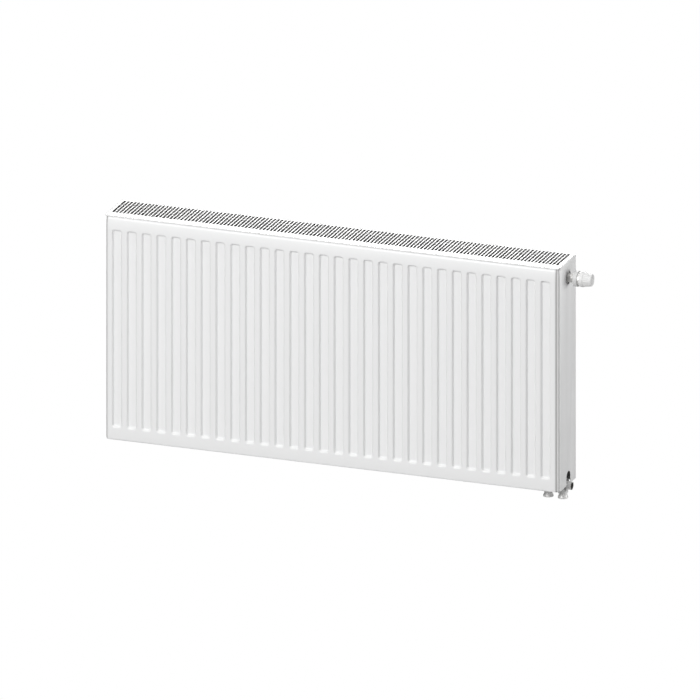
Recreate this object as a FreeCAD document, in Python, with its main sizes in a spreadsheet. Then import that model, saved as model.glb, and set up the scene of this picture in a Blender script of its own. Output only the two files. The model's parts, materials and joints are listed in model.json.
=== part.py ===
"""Double-panel steel radiator with built-in valve, 500 x 1000 nominal: parametric FreeCAD document.

Frame: +X to the right seen from the room, +Y towards the wall, +Z up, millimetres.
The origin is the centre of the rear faces of the four hanging lugs, half way up the radiator.
"""
import FreeCAD
import Part
import math
import os
import re

import Sketcher

ORIGIN = FreeCAD.Vector(0, 0, 0)
X_AXIS = FreeCAD.Vector(1, 0, 0)
Y_AXIS = FreeCAD.Vector(0, 1, 0)

SIZES = {
    # whole radiator
    "cover_width": 1024, "panel_width": 1017, "full_height": 500, "body_depth": 108, "lug_reach": 9,
    # water panels, pressed from steel sheet
    "sheet": 1.25, "panel_depth": 13.5, "top_rounding": 8, "edge_rounding": 2.5,
    "rear_top_drop": 13, "flute_count": 30, "flute_pitch": 33.3333, "flute_width": 22.5,
    "flute_depth": 4.5, "flute_slope": 41.5, "flute_corner": 6.5, "flute_top_gap": 29.5,
    "flute_foot_gap": 28.5, "duct_width": 12, "header_height": 30, "header_margin": 9,
    # convector fins welded to the inner sheets
    "fin_sheet": 0.5, "fin_reach": 36, "fin_span": 16, "fin_count": 26, "fin_start": -450,
    "fin_height": 430,
    # top grille
    "grille_sheet": 1, "slot_count": 125, "slot_pitch": 8.074, "slot_width": 4.9, "slot_length": 78.4,
    "slot_shift": 1.9, "slot_corner": 1.6, "slot_front_margin": 13, "grille_front": 113.5,
    "grille_lip": 1.6, "grille_flange": 11,
    "grille_end_gap": 0.3, "grille_ring_gap": 3.2, "ring_setback": 1.4, "stiffener_setback": 65,
    "clip_width": 14, "clip_drop": 23, "clip_sheet": 0.8, "clip_place": 300, "clip_bulge": 1.6,
    "clip_setback": 37.6, "clip_bulge_height": 6.4,
    # side covers
    "cover_sheet": 1, "cover_fold": 5, "cover_rear_fold": 1.8, "cover_depth": 94.4,
    "cover_hole": 14.5, "cover_port_hole": 17, "notch_half": 12, "notch_top": 30,
    # ports: distance of their axes from the wall plane, and their heights from the middle
    "port_setback": 53.5, "port_height": 212, "hub_place": 490, "hub_outer": 16, "hub_bore": 12.5,
    "duct_port": 10, "boss_outer": 14.5, "boss_thread": 9.3, "boss_end": 509,
    # bottom connections
    "return_place": 499.6, "stub_spacing": 33, "tee_height": 252, "tee_outer": 15, "tee_bore": 9,
    "tee_left": 484.5, "tee_right": 508, "drain_end": 520, "drain_outer": 9, "drain_bore": 6.5,
    "drain_plug_end": 512, "drain_plug_length": 6, "joint_height": 236.5, "joint_outer": 11,
    "joint_bore": 8, "socket_bore": 7.6, "socket_length": 14, "neck_outer": 9, "rim_outer": 11,
    "rim_height": 3, "flare_height": 4, "stub_foot": 281, "boss_foot": 269, "stub_seat": 263,
    "stub_top": 236, "stub_body": 12, "stub_shoulder": 260, "stub_bevel": 2,
    "riser_outer": 7.5, "riser_bore": 6, "riser_seat": 8,
    # valve housing, along its axis from the middle of the radiator
    "housing_start": 448, "housing_outer": 16, "chamber_start": 452, "chamber_bore": 12,
    "seat_start": 474, "seat_end": 480, "seat_bore": 6, "housing_foot": 190,
    # valve insert
    "insert_start": 493, "insert_outer": 9.5, "guide_end": 500, "spring_room": 6, "room_end": 531,
    "head_start": 536.5, "head_end": 546, "head_outer": 15, "groove_start": 504.3,
    "groove_width": 1.6, "groove_depth": 1.5, "ring_wire": 0.75,
    "collar_start": 526.2, "collar_end": 536.3, "collar_outer": 17, "collar_edge": 1.2,
    # valve spindle, its disc and its spring
    "spindle_outer": 2.5, "running_gap": 0.05, "spindle_end": 549, "carrier_start": 484.9,
    "carrier_width": 1.5, "carrier_outer": 8, "disc_width": 2.5, "disc_outer": 7.5,
    "shoulder_start": 516, "shoulder_width": 1.5, "shoulder_outer": 4.8,
    "coil_start": 501.2, "coil_length": 11.2, "coil_turns": 5, "coil_radius": 4.2, "coil_wire": 0.5,
    # valve cap
    "cap_start": 538, "cap_base_end": 547.5, "cap_base": 16.5, "cap_step": 15.6, "cap_tip": 13,
    "cap_end": 566, "cap_edge": 1.2, "cap_bevel": 0.7, "thread_gap": 0.08, "cap_room_start": 546.6,
    "cap_room": 12.5, "cap_room_tip": 10.5, "cap_wall": 3.5, "pusher": 4, "pusher_gap": 0.2,
    # plugs in the left hubs
    "plug_start": 494, "gasket": 1.6, "flange_outer": 12.5, "flange_width": 3, "flange_edge": 0.6,
    "socket_hex": 4,
    "hex_depth": 4, "spigot_outer": 6, "spigot_end": 519.4, "nozzle_start": 513.9,
    "nozzle_end": 519, "nozzle_outer": 9.5, "spout_outer": 2.2, "spout_bore": 1.1, "spout_reach": 14,
    "vent_bore_start": 498, "vent_seat_gap": 1, "vent_cone": 2, "vent_radius": 2.5,
    "vent_head_start": 519.8, "vent_head_end": 524,
    "vent_head_half": 2.5, "vent_duct": 1.2,
    # hanging lugs
    "lug_place": 366.667, "lug_height": 150, "lug_width": 30, "lug_sheet": 2.5, "lug_top": 48,
    "lug_bend_top": 30, "lug_bend_foot": 18, "lug_foot": 30, "bend_allowance": 0.9,
}

# how far a cut through a sheet reaches, as a share of the sheet's thickness
CUT_THROUGH = 1.5

document = FreeCAD.newDocument("radiator")
table = document.addObject("Spreadsheet::Sheet", "Sizes")
for row, (alias, size) in enumerate(SIZES.items(), start=1):
    table.set(f"A{row}", alias)
    table.set(f"B{row}", str(size))
    table.setAlias(f"B{row}", alias)
document.recompute()

pieces = []


def bound(text):
    """The expression with each alias written as a cell of the sheet."""
    return re.sub(r"[a-z]\w+", lambda word: "Sizes." + word.group(), str(text))


def tie(thing, **expressions):
    """Bind properties, with __ for a dot, to expressions of the sheet."""
    for name, text in expressions.items():
        thing.setExpression(name.replace("__", "."), bound(text))


def place(thing, x=0, y=0, z=0):
    """Give an object its Placement in the row frame, bound to the sheet."""
    tie(thing, Placement__Base__x=x, Placement__Base__y=y, Placement__Base__z=z)


def piece(thing, label):
    thing.Label = label
    pieces.append(thing)
    return thing


# ---------------------------------------------------------------- PartDesign helpers

def new_body(label):
    return piece(document.addObject("PartDesign::Body", label), label)


def origin_plane(body, role):
    return next(item for item in body.Origin.OriginFeatures if item.Role == role)


def new_sketch(body, role="XZ_Plane", lift=0):
    """An empty sketch on an origin plane, moved along the plane's normal by lift."""
    sketch = body.newObject("Sketcher::SketchObject", "Sketch")
    sketch.AttachmentSupport = (origin_plane(body, role), [""])
    sketch.MapMode = "FlatFace"
    tie(sketch, AttachmentOffset__Base__z=lift)
    return sketch


def dimension(sketch, kind, geometry, point, text):
    """Hold one coordinate of a point at an expression of the sheet."""
    value = sketch.evalExpression(bound(text))
    constraint = Sketcher.Constraint(kind, -1, 1, geometry, point, float(value))
    sketch.setExpression(f"Constraints[{sketch.addConstraint(constraint)}]", bound(text))


def polygon(sketch, corners):
    """A closed outline through corners, each a pair of expressions."""
    start = sketch.GeometryCount
    values = [[float(sketch.evalExpression(bound(text))) for text in corner] for corner in corners]
    count = len(corners)
    for index in range(count):
        here = FreeCAD.Vector(*values[index])
        there = FreeCAD.Vector(*values[(index + 1) % count])
        sketch.addGeometry(Part.LineSegment(here, there))
    for index in range(count):
        following = start + (index + 1) % count
        sketch.addConstraint(Sketcher.Constraint("Coincident", start + index, 2, following, 1))
    for index, (across, up) in enumerate(corners):
        dimension(sketch, "DistanceX", start + index, 1, across)
        dimension(sketch, "DistanceY", start + index, 1, up)


def rectangle(sketch, left, right, low, high):
    polygon(sketch, [(left, low), (right, low), (right, high), (left, high)])


def circle(sketch, across, up, radius):
    centre = FreeCAD.Vector(*[float(sketch.evalExpression(bound(text))) for text in (across, up)])
    size = float(sketch.evalExpression(bound(radius)))
    geometry = sketch.addGeometry(Part.Circle(centre, FreeCAD.Vector(0, 0, 1), size))
    dimension(sketch, "DistanceX", geometry, 3, across)
    dimension(sketch, "DistanceY", geometry, 3, up)
    held = sketch.addConstraint(Sketcher.Constraint("Radius", geometry, size))
    sketch.setExpression(f"Constraints[{held}]", bound(radius))


def extrude(body, kind, sketch, length, reverse=False, slope=None):
    """A Pad or Pocket; a Pocket that removes nothing is an error."""
    feature = body.newObject("PartDesign::" + kind, kind)
    feature.Profile = sketch
    feature.Reversed = reverse
    tie(feature, Length=length)
    if slope is not None:
        tie(feature, TaperAngle=slope)
    before = feature.BaseFeature.Shape.Volume if feature.BaseFeature else 0
    document.recompute()
    grown = feature.Shape.Volume - before
    if (kind == "Pocket") != (grown < 0):
        raise RuntimeError(f"{body.Label}: a {kind} changed the volume by {grown:.1f}")
    sketch.Visibility = False
    return feature


def pad(body, sketch, length, **options):
    return extrude(body, "Pad", sketch, length, **options)


def pocket(body, sketch, length, **options):
    return extrude(body, "Pocket", sketch, length, **options)


def repeat(body, feature, pitch, count):
    """Repeat a feature along its sketch's horizontal axis."""
    pattern = body.newObject("PartDesign::LinearPattern", "LinearPattern")
    pattern.Originals = [feature]
    pattern.Direction = (feature.Profile[0], ["H_Axis"])
    tie(pattern, Length=f"{pitch} * ({count} - 1)", Occurrences=count)
    body.Tip = pattern
    document.recompute()
    return pattern


def round_edges(body, radius, chosen):
    """Round the edges of the body's last feature that chosen(edge) accepts."""
    base = body.Tip
    names = [f"Edge{n}" for n, edge in enumerate(base.Shape.Edges, start=1) if chosen(edge)]
    fillet = body.newObject("PartDesign::Fillet", "Fillet")
    fillet.Base = (base, names)
    tie(fillet, Radius=radius)
    document.recompute()
    return fillet


def turned(label, profile, axis="H_Axis", plane="XZ_Plane"):
    """A turned piece: a closed half profile revolved about an axis of its sketch."""
    body = new_body(label)
    sketch = new_sketch(body, plane)
    polygon(sketch, profile)
    spin = body.newObject("PartDesign::Revolution", "Revolution")
    spin.Profile = sketch
    spin.ReferenceAxis = (sketch, [axis])
    spin.Angle = 360
    document.recompute()
    return body


# ---------------------------------------------------------------- Part helpers

def box(name, sizes, x, y, z):
    solid = document.addObject("Part::Box", name)
    tie(solid, Length=sizes[0], Width=sizes[1], Height=sizes[2])
    place(solid, x, y, z)
    return solid


def cylinder(name, radius, length, axis, x=0, y=0, z=0):
    """A Part::Cylinder along +X, +Y or +Z from its base centre."""
    solid = document.addObject("Part::Cylinder", name)
    turns = {"X": (Y_AXIS, 90), "Y": (X_AXIS, -90), "Z": (Y_AXIS, 0)}
    solid.Placement = FreeCAD.Placement(ORIGIN, FreeCAD.Rotation(*turns[axis]))
    tie(solid, Radius=radius, Height=length)
    place(solid, x, y, z)
    return solid


def join(name, *solids):
    fused = document.addObject("Part::MultiFuse", name)
    fused.Shapes = list(solids)
    return fused


def carve(label, solid, *tools):
    """A finished piece: solid less the tools."""
    cut = document.addObject("Part::Cut", label)
    cut.Base = solid
    cut.Tool = tools[0] if len(tools) == 1 else join(label + "_tools", *tools)
    return piece(cut, label)


def group(label, solids):
    """Several separate solids of one kind as one piece."""
    compound = document.addObject("Part::Compound", label)
    compound.Links = solids
    return piece(compound, label)


# ---------------------------------------------------------------- water panels

PANEL_FOOT = "-full_height / 2"
FLUTE_FIRST = "-flute_pitch * (flute_count - 1) / 2"


def outer_sheet(label, top, facing_room):
    """A tray-shaped sheet with a row of sunk upright flutes.

    It is built facing -Y with its face at Y = 0, and the rear one is turned half way round.
    """
    body = new_body(label)
    blank = new_sketch(body)
    rectangle(blank, "-panel_width / 2", "panel_width / 2", PANEL_FOOT, top)
    pad(body, blank, "panel_depth", reverse=True)
    height, width, depth = [float(body.evalExpression(bound(text)))
                            for text in (top, "panel_width", "panel_depth")]

    def on_face(edge):
        return edge.BoundBox.YMax < depth / 4

    def long_top(edge):
        box = edge.BoundBox
        return box.XLength > width / 2 and box.ZMin > height / 2 and on_face(edge)

    def other_rim(edge):
        box = edge.BoundBox
        foot = box.XLength > width / 2 and on_face(edge) and box.ZMax < 0
        upright = box.XLength < depth / 1000
        side = upright and box.YMin < depth / 2 and (on_face(edge) or box.ZMin > 0)
        return foot or side

    round_edges(body, "top_rounding", long_top)
    round_edges(body, "edge_rounding", other_rim)
    hollow = new_sketch(body, lift="-panel_depth")
    rectangle(hollow, "-panel_width / 2 + sheet", "panel_width / 2 - sheet",
              PANEL_FOOT + " + sheet", top + " - top_rounding")
    pocket(body, hollow, "panel_depth - sheet", reverse=True)
    crown = new_sketch(body, lift="-panel_depth")
    rectangle(crown, "-panel_width / 2 + sheet", "panel_width / 2 - sheet",
              top + " - top_rounding - sheet", top + " - sheet")
    pocket(body, crown, "panel_depth - top_rounding", reverse=True)
    flute_foot = PANEL_FOOT + " + flute_foot_gap"
    flute_head = "full_height / 2 - flute_top_gap"
    for kind, grow, depth in (("Pad", "sheet", "flute_depth + sheet"), ("Pocket", "0", "flute_depth")):
        outline = new_sketch(body)
        rounded_slot(outline, FLUTE_FIRST, f"flute_width / 2 + {grow}", f"{flute_foot} - {grow}",
                     f"{flute_head} + {grow}", f"flute_corner + {grow}")
        flute = extrude(body, kind, outline, depth, reverse=(kind == "Pad"), slope="-flute_slope")
        repeat(body, flute, "flute_pitch", "flute_count")
    if facing_room:
        place(body, y="-lug_reach - body_depth")
    else:
        body.Placement = FreeCAD.Placement(ORIGIN, FreeCAD.Rotation(FreeCAD.Vector(0, 0, 1), 180))
        tie(body, Placement__Base__y="-lug_reach")
    return body


def rounded_slot(sketch, middle, half, low, high, corner):
    """A rounded rectangle about the upright line at middle."""
    def number(text):
        return float(sketch.evalExpression(bound(text)))

    left, right = f"{middle} - ({half})", f"{middle} + ({half})"
    near, far = f"{left} + ({corner})", f"{right} - ({corner})"
    foot, head = f"{low} + ({corner})", f"{high} - ({corner})"
    straight = [((near, low), (far, low)), ((right, foot), (right, head)),
                ((far, high), (near, high)), ((left, head), (left, foot))]
    for ends in straight:
        sketch.addGeometry(Part.LineSegment(*[FreeCAD.Vector(number(a), number(b)) for a, b in ends]))
    radius = number(corner)
    quarter = math.pi / 2
    centres = [(far, foot, 3), (far, head, 0), (near, head, 1), (near, foot, 2)]
    for across, up, start in centres:
        ring = Part.Circle(FreeCAD.Vector(number(across), number(up)), FreeCAD.Vector(0, 0, 1), radius)
        sketch.addGeometry(Part.ArcOfCircle(ring, start * quarter, (start + 1) * quarter))
    for index in range(4):
        arc = 4 + index
        following = (index + 1) % 4
        sketch.addConstraint(Sketcher.Constraint("Coincident", index, 2, arc, 1))
        sketch.addConstraint(Sketcher.Constraint("Coincident", arc, 2, following, 1))
    for index, (across, up) in enumerate(ends[0] for ends in straight):
        dimension(sketch, "DistanceX", index, 1, across)
        dimension(sketch, "DistanceY", index, 1, up)
    for index, (across, up) in enumerate(ends[1] for ends in straight):
        dimension(sketch, "DistanceX", index, 2, across)
        dimension(sketch, "DistanceY", index, 2, up)
    for index in range(4):
        held = sketch.addConstraint(Sketcher.Constraint("Radius", 4 + index, radius))
        sketch.setExpression(f"Constraints[{held}]", bound(corner))


def inner_sheet(label, top, facing_room):
    """The sheet that closes a water panel: welded to the flutes, with ducts pressed out behind."""
    body = new_body(label)
    land = "flute_depth + sheet"
    duct = "panel_depth - flute_depth - 2 * sheet"
    inset = "panel_width / 2 - sheet"
    plate = new_sketch(body, lift=f"-({land})")
    rectangle(plate, f"-({inset})", inset, PANEL_FOOT + " + sheet", top + " - top_rounding - sheet")
    pad(body, plate, "sheet", reverse=True)
    header_high = "port_height + header_height / 2"
    header_low = "port_height - header_height / 2"
    reach = "panel_width / 2 - header_margin"
    duct_first = "-flute_pitch * (flute_count - 2) / 2"
    back = f"-({land} + sheet)"
    for kind, shrink, start, depth in (("Pad", "0", back, duct),
                                       ("Pocket", "sheet", f"-({land})", f"{duct}")):
        turn = kind == "Pad"
        for low, high in ((header_low, header_high), (f"-({header_high})", f"-({header_low})")):
            header = new_sketch(body, lift=start)
            rectangle(header, f"-({reach}) + {shrink}", f"{reach} - {shrink}",
                      f"{low} + {shrink}", f"{high} - {shrink}")
            extrude(body, kind, header, depth, reverse=turn)
        column = new_sketch(body, lift=start)
        rectangle(column, f"{duct_first} - duct_width / 2 + {shrink}",
                  f"{duct_first} + duct_width / 2 - {shrink}",
                  f"-({header_low}) - 2 * sheet", f"{header_low} + 2 * sheet")
        feature = extrude(body, kind, column, depth, reverse=turn)
        repeat(body, feature, "flute_pitch", "(flute_count - 1)")
    ports = new_sketch(body, lift="-panel_depth")
    for across in ("hub_place", "-hub_place"):
        for up in ("port_height", "-port_height"):
            circle(ports, across, up, "duct_port")
    pocket(body, ports, f"{CUT_THROUGH} * sheet", reverse=True)
    if facing_room:
        place(body, y="-lug_reach - body_depth")
    else:
        body.Placement = FreeCAD.Placement(ORIGIN, FreeCAD.Rotation(FreeCAD.Vector(0, 0, 1), 180))
        tie(body, Placement__Base__y="-lug_reach")
    return body


FRONT_TOP = "(full_height / 2 - grille_sheet)"
REAR_TOP = "(full_height / 2 - rear_top_drop)"
outer_sheet("front_panel_outer_sheet", FRONT_TOP, True)
inner_sheet("front_panel_inner_sheet", FRONT_TOP, True)
inner_sheet("rear_panel_inner_sheet", REAR_TOP, False)
outer_sheet("rear_panel_outer_sheet", REAR_TOP, False)


# ---------------------------------------------------------------- convector fins

def fins(label, root, outward):
    """Upright U-shaped strips, each welded by its base to a duct of the inner sheet at root.

    outward is 1 where the legs point along +Y and -1 where they point along -Y.
    """
    near = root if outward > 0 else f"{root} - fin_reach"
    room_near = f"{near} + fin_sheet" if outward > 0 else near
    strips = []
    for index in range(SIZES["fin_count"]):
        left = f"fin_start + {index} * flute_pitch - fin_span / 2"
        blank = box("fin_blank", ("fin_span", "fin_reach", "fin_height"),
                    left, near, "-fin_height / 2")
        room = box("fin_room", ("fin_span - 2 * fin_sheet", "fin_reach - fin_sheet", "fin_height"),
                   f"{left} + fin_sheet", room_near, "-fin_height / 2")
        strip = document.addObject("Part::Cut", "fin_strip")
        strip.Base = blank
        strip.Tool = room
        strips.append(strip)
    return group(label, strips)


FRONT_DUCTS = "(panel_depth - lug_reach - body_depth)"
REAR_DUCTS = "(-lug_reach - panel_depth)"
fins("front_convector_fins", FRONT_DUCTS, 1)
fins("rear_convector_fins", REAR_DUCTS, -1)


# ---------------------------------------------------------------- grille and side covers

TOP = "full_height / 2"
COVER_FRONT = "(-lug_reach - cover_depth)"
COVER_IN = "(cover_width / 2 - cover_sheet)"
RING_HALF = f"({COVER_IN} - grille_ring_gap + cover_sheet)"
RING_FRONT = f"({COVER_FRONT} + ring_setback)"


def top_grille():
    """The slotted top plate, with a folded ring and a stiffener beneath it."""
    body = new_body("top_grille")
    plate = new_sketch(body, "XY_Plane", lift=TOP)
    half = f"({COVER_IN} - grille_end_gap)"
    rectangle(plate, f"-{half}", half, "-grille_front", "-lug_reach")
    pad(body, plate, "grille_sheet", reverse=True)
    lip = new_sketch(body, "XY_Plane", lift=TOP)
    rectangle(lip, f"-{half}", half, "-grille_front", "-grille_front + grille_sheet")
    pad(body, lip, "grille_lip", reverse=True)
    ring = new_sketch(body, "XY_Plane", lift=TOP)
    rectangle(ring, f"-{RING_HALF}", RING_HALF, RING_FRONT, "-lug_reach")
    rectangle(ring, f"-{RING_HALF} + grille_sheet", f"{RING_HALF} - grille_sheet",
              f"{RING_FRONT} + grille_sheet", "-lug_reach - grille_sheet")
    pad(body, ring, "grille_flange", reverse=True)
    stiffener = new_sketch(body, "XY_Plane", lift=TOP)
    rear = f"{COVER_FRONT} + stiffener_setback"
    rectangle(stiffener, f"-{RING_HALF}", RING_HALF, rear, f"{rear} + grille_sheet")
    pad(body, stiffener, "grille_flange", reverse=True)
    slot = new_sketch(body, "XY_Plane", lift=TOP)
    near = f"{COVER_FRONT} + slot_front_margin"
    rounded_slot(slot, "-slot_shift - slot_pitch * (slot_count - 1) / 2", "slot_width / 2", near,
                 f"{near} + slot_length", "slot_corner")
    repeat(body, pocket(body, slot, f"{CUT_THROUGH} * grille_sheet"), "slot_pitch", "slot_count")
    return body


def grille_clips():
    """Four spring clips under the plate: each a strip with a bulge towards a panel's duct."""
    middle = "(-lug_reach - body_depth / 2)"
    clips = []
    for across in ("clip_place", "-clip_place"):
        for turn in (-1, 1):
            strip = box("clip_strip", ("clip_width", "clip_sheet", "clip_drop"),
                        f"{across} - clip_width / 2",
                        f"{middle} + {turn} * clip_setback - clip_sheet / 2",
                        f"{TOP} - grille_sheet - clip_drop")
            bulge = cylinder("clip_bulge", "clip_bulge", "clip_width", "X",
                             f"{across} - clip_width / 2",
                             f"{middle} + {turn} * (clip_setback + clip_sheet)",
                             f"{TOP} - clip_drop + clip_bulge_height")
            clips.append(join("clip", strip, bulge))
    return group("grille_clips", clips)


def side_cover(label, side):
    """A folded side cover; side is 1 on the right and -1 on the left."""
    body = new_body(label)
    outline = new_sketch(body, "XY_Plane", lift=f"-{TOP}")
    rim = "cover_width / 2"
    corners = [(f"{rim} - cover_fold", COVER_FRONT), (rim, COVER_FRONT), (rim, "-lug_reach"),
               (f"{COVER_IN} - cover_rear_fold", "-lug_reach"),
               (f"{COVER_IN} - cover_rear_fold", "-lug_reach - cover_sheet"),
               (COVER_IN, "-lug_reach - cover_sheet"), (COVER_IN, f"{COVER_FRONT} + cover_sheet"),
               (f"{rim} - cover_fold", f"{COVER_FRONT} + cover_sheet")]
    polygon(outline, [(f"{side} * ({across})", up) for across, up in corners])
    pad(body, outline, "full_height - grille_sheet")
    wall = new_sketch(body, "XY_Plane", lift=f"{TOP} - grille_sheet")
    ends = sorted([f"{side} * {COVER_IN}", f"{side} * {rim}"],
                  key=lambda text: float(body.evalExpression(bound(text))))
    rectangle(wall, ends[0], ends[1], COVER_FRONT, "-lug_reach")
    pad(body, wall, "grille_sheet")
    holes = new_sketch(body, "YZ_Plane", lift=f"{side} * {rim}")
    if side > 0:
        circle(holes, "-port_setback", "port_height", "cover_hole")
        circle(holes, "-port_setback", f"-{TOP} + notch_top - notch_half", "notch_half")
    else:
        circle(holes, "-port_setback", "port_height", "cover_port_hole")
        circle(holes, "-port_setback", "-port_height", "cover_port_hole")
    pocket(body, holes, f"{CUT_THROUGH} * cover_sheet", reverse=(side < 0))
    if side > 0:
        notch = new_sketch(body, "YZ_Plane", lift=rim)
        rectangle(notch, "-port_setback - notch_half", "-port_setback + notch_half",
                  f"-{TOP} - cover_sheet", f"-{TOP} + notch_top - notch_half")
        pocket(body, notch, f"{CUT_THROUGH} * cover_sheet")
    return body


top_grille()
grille_clips()
side_cover("left_side_cover", -1)
side_cover("right_side_cover", 1)


# ---------------------------------------------------------------- hubs between the panels

PORT_Y = "-port_setback"
BETWEEN = "(body_depth - 2 * panel_depth)"


def cross_tube(name, radius, side, height):
    """A cylinder from one panel's ducts to the other's."""
    return cylinder(name, radius, BETWEEN, "Y", f"{side} * hub_place", FRONT_DUCTS, height)


def side_port_hub(label, height):
    """A left hub: a cross tube with a threaded boss towards the left cover."""
    boss = cylinder("boss", "boss_outer", "boss_end - hub_place", "X", "-boss_end", PORT_Y, height)
    thread = cylinder("boss_thread", "boss_thread", "boss_end - hub_place", "X", "-boss_end",
                      PORT_Y, height)
    tube = cross_tube("hub_tube", "hub_outer", -1, height)
    bore = cross_tube("hub_bore", "hub_bore", -1, height)
    return carve(label, join(label + "_blank", tube, boss), bore, thread)


def bottom_right_hub():
    """The cross tube above the return tee, with a short joint downwards."""
    height = "-port_height"
    tube = cross_tube("hub_tube", "hub_outer", 1, height)
    bore = cross_tube("hub_bore", "hub_bore", 1, height)
    drop = "joint_height - port_height"
    neck = cylinder("joint", "joint_outer", drop, "Z", "hub_place", PORT_Y, "-joint_height")
    hole = cylinder("joint_bore", "joint_bore", drop, "Z", "hub_place", PORT_Y, "-joint_height")
    return carve("bottom_right_hub", join("joined_hub", tube, neck), bore, hole)


def return_tee():
    """The tee under the right end: joint upwards, stub boss downwards, drain boss sideways."""
    level = "-tee_height"
    run = cylinder("tee_run", "tee_outer", "tee_right - tee_left", "X", "tee_left", PORT_Y, level)
    drain = cylinder("drain_boss", "drain_outer", "drain_end - tee_right", "X", "tee_right",
                     PORT_Y, level)
    rise = "tee_height - joint_height"
    neck = cylinder("tee_joint", "joint_outer", rise, "Z", "hub_place", PORT_Y, level)
    foot = cylinder("stub_boss", "joint_outer", "boss_foot - tee_height", "Z", "return_place",
                    PORT_Y, "-boss_foot")
    room = cylinder("tee_bore", "tee_bore", "tee_right - tee_left - tee_outer + tee_bore", "X",
                    "tee_left + (tee_outer - tee_bore) / 2", PORT_Y, level)
    way_out = cylinder("drain_bore", "drain_bore", "drain_end - hub_place", "X", "hub_place",
                       PORT_Y, level)
    way_up = cylinder("joint_bore", "joint_bore", rise, "Z", "hub_place", PORT_Y, level)
    seat = cylinder("stub_seat", "neck_outer", "boss_foot - stub_seat", "Z", "return_place", PORT_Y,
                    "-boss_foot")
    way_down = cylinder("stub_way", "socket_bore", "boss_foot - tee_height", "Z", "return_place",
                        PORT_Y, "-boss_foot")
    return carve("return_tee", join("tee_blank", run, drain, neck, foot),
                 room, way_out, way_up, seat, way_down)


def valve_housing():
    """The top right hub with the valve seat between the riser's chamber and the panels."""
    height = "port_height"
    barrel = cylinder("barrel", "housing_outer", "boss_end - housing_start", "X", "housing_start",
                      PORT_Y, height)
    tube = cross_tube("hub_tube", "hub_outer", 1, height)
    riser_place = "return_place - stub_spacing"
    inlet = cylinder("inlet", "riser_outer + 2 * sheet", "port_height - housing_foot", "Z",
                     riser_place, PORT_Y, "housing_foot")
    chamber = cylinder("chamber", "chamber_bore", "seat_start - chamber_start", "X",
                       "chamber_start", PORT_Y, height)
    seat = cylinder("seat", "seat_bore", "boss_end - seat_start", "X", "seat_start", PORT_Y, height)
    thread = cylinder("insert_thread", "insert_outer", "boss_end - seat_end", "X", "seat_end",
                      PORT_Y, height)
    bore = cross_tube("hub_bore", "hub_bore", 1, height)
    way_up = cylinder("riser_way", "riser_bore", "port_height - housing_foot", "Z", riser_place,
                      PORT_Y, "housing_foot")
    socket = cylinder("riser_socket", "riser_outer", "riser_seat", "Z", riser_place, PORT_Y,
                      "housing_foot")
    return carve("valve_housing", join("housing_blank", barrel, tube, inlet),
                 chamber, seat, thread, bore, way_up, socket)


side_port_hub("top_left_hub", "port_height")
side_port_hub("bottom_left_hub", "-port_height")
bottom_right_hub()
return_tee()
valve_housing()


# ---------------------------------------------------------------- riser and pipe stubs

def upright(label, profile, across):
    """A piece turned about an upright axis: profile pairs are radius and height."""
    body = turned(label, profile, axis="V_Axis")
    place(body, across, PORT_Y, 0)
    return body


RIM_FOOT, RIM_HEAD = "-stub_foot", "-stub_foot + rim_height"
FLARE_HEAD = "-stub_foot + rim_height + flare_height"
SOCKET_HEAD = "-stub_foot + socket_length"
SUPPLY = "return_place - stub_spacing"

upright("riser_pipe", [("riser_bore", "-stub_top - riser_seat"), ("riser_outer", "-stub_top - riser_seat"),
                       ("riser_outer", "housing_foot + riser_seat"),
                       ("riser_bore", "housing_foot + riser_seat")], SUPPLY)
upright("supply_stub", [("socket_bore", RIM_FOOT), ("rim_outer", RIM_FOOT), ("rim_outer", RIM_HEAD),
                        ("neck_outer", FLARE_HEAD), ("neck_outer", "-stub_shoulder"),
                        ("stub_body", "-stub_shoulder + stub_bevel"), ("stub_body", "-stub_top"),
                        ("riser_outer", "-stub_top"), ("riser_outer", "-stub_top - riser_seat"),
                        ("riser_bore", "-stub_top - riser_seat"), ("riser_bore", SOCKET_HEAD),
                        ("socket_bore", SOCKET_HEAD)], SUPPLY)
upright("return_stub", [("socket_bore", RIM_FOOT), ("rim_outer", RIM_FOOT), ("rim_outer", RIM_HEAD),
                        ("neck_outer", FLARE_HEAD), ("neck_outer", "-stub_seat"),
                        ("riser_bore", "-stub_seat"), ("riser_bore", SOCKET_HEAD),
                        ("socket_bore", SOCKET_HEAD)], "return_place")


# ---------------------------------------------------------------- valve insert, spindle and cap

def level_piece(label, profile, height="port_height", side=1):
    """A piece turned about a port's level axis: profile pairs are distance outwards and radius."""
    body = turned(label, profile)
    if side < 0:
        body.Placement = FreeCAD.Placement(ORIGIN, FreeCAD.Rotation(FreeCAD.Vector(0, 0, 1), 180))
    place(body, 0, PORT_Y, height)
    return body


GUIDE = "spindle_outer + running_gap"
GROOVE_IN, GROOVE_OUT = "groove_start", "groove_start + groove_width"
level_piece("valve_insert", [
    ("insert_start", GUIDE), ("insert_start", "insert_outer"), (GROOVE_IN, "insert_outer"),
    (GROOVE_IN, "insert_outer - groove_depth"), (GROOVE_OUT, "insert_outer - groove_depth"),
    (GROOVE_OUT, "insert_outer"), ("head_start", "insert_outer"), ("head_start", "head_outer"),
    ("head_end", "head_outer"), ("head_end", GUIDE), ("room_end", GUIDE),
    ("room_end", "spring_room"), ("guide_end", "spring_room"), ("guide_end", GUIDE)])
level_piece("valve_collar", [
    ("collar_start", "insert_outer"), ("collar_start", "collar_outer - collar_edge"),
    ("collar_start + collar_edge", "collar_outer"), ("collar_end - collar_edge", "collar_outer"),
    ("collar_end", "collar_outer - collar_edge"), ("collar_end", "insert_outer")])
CARRIER_END = "carrier_start + carrier_width"
SHOULDER_END = "shoulder_start + shoulder_width"
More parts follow.
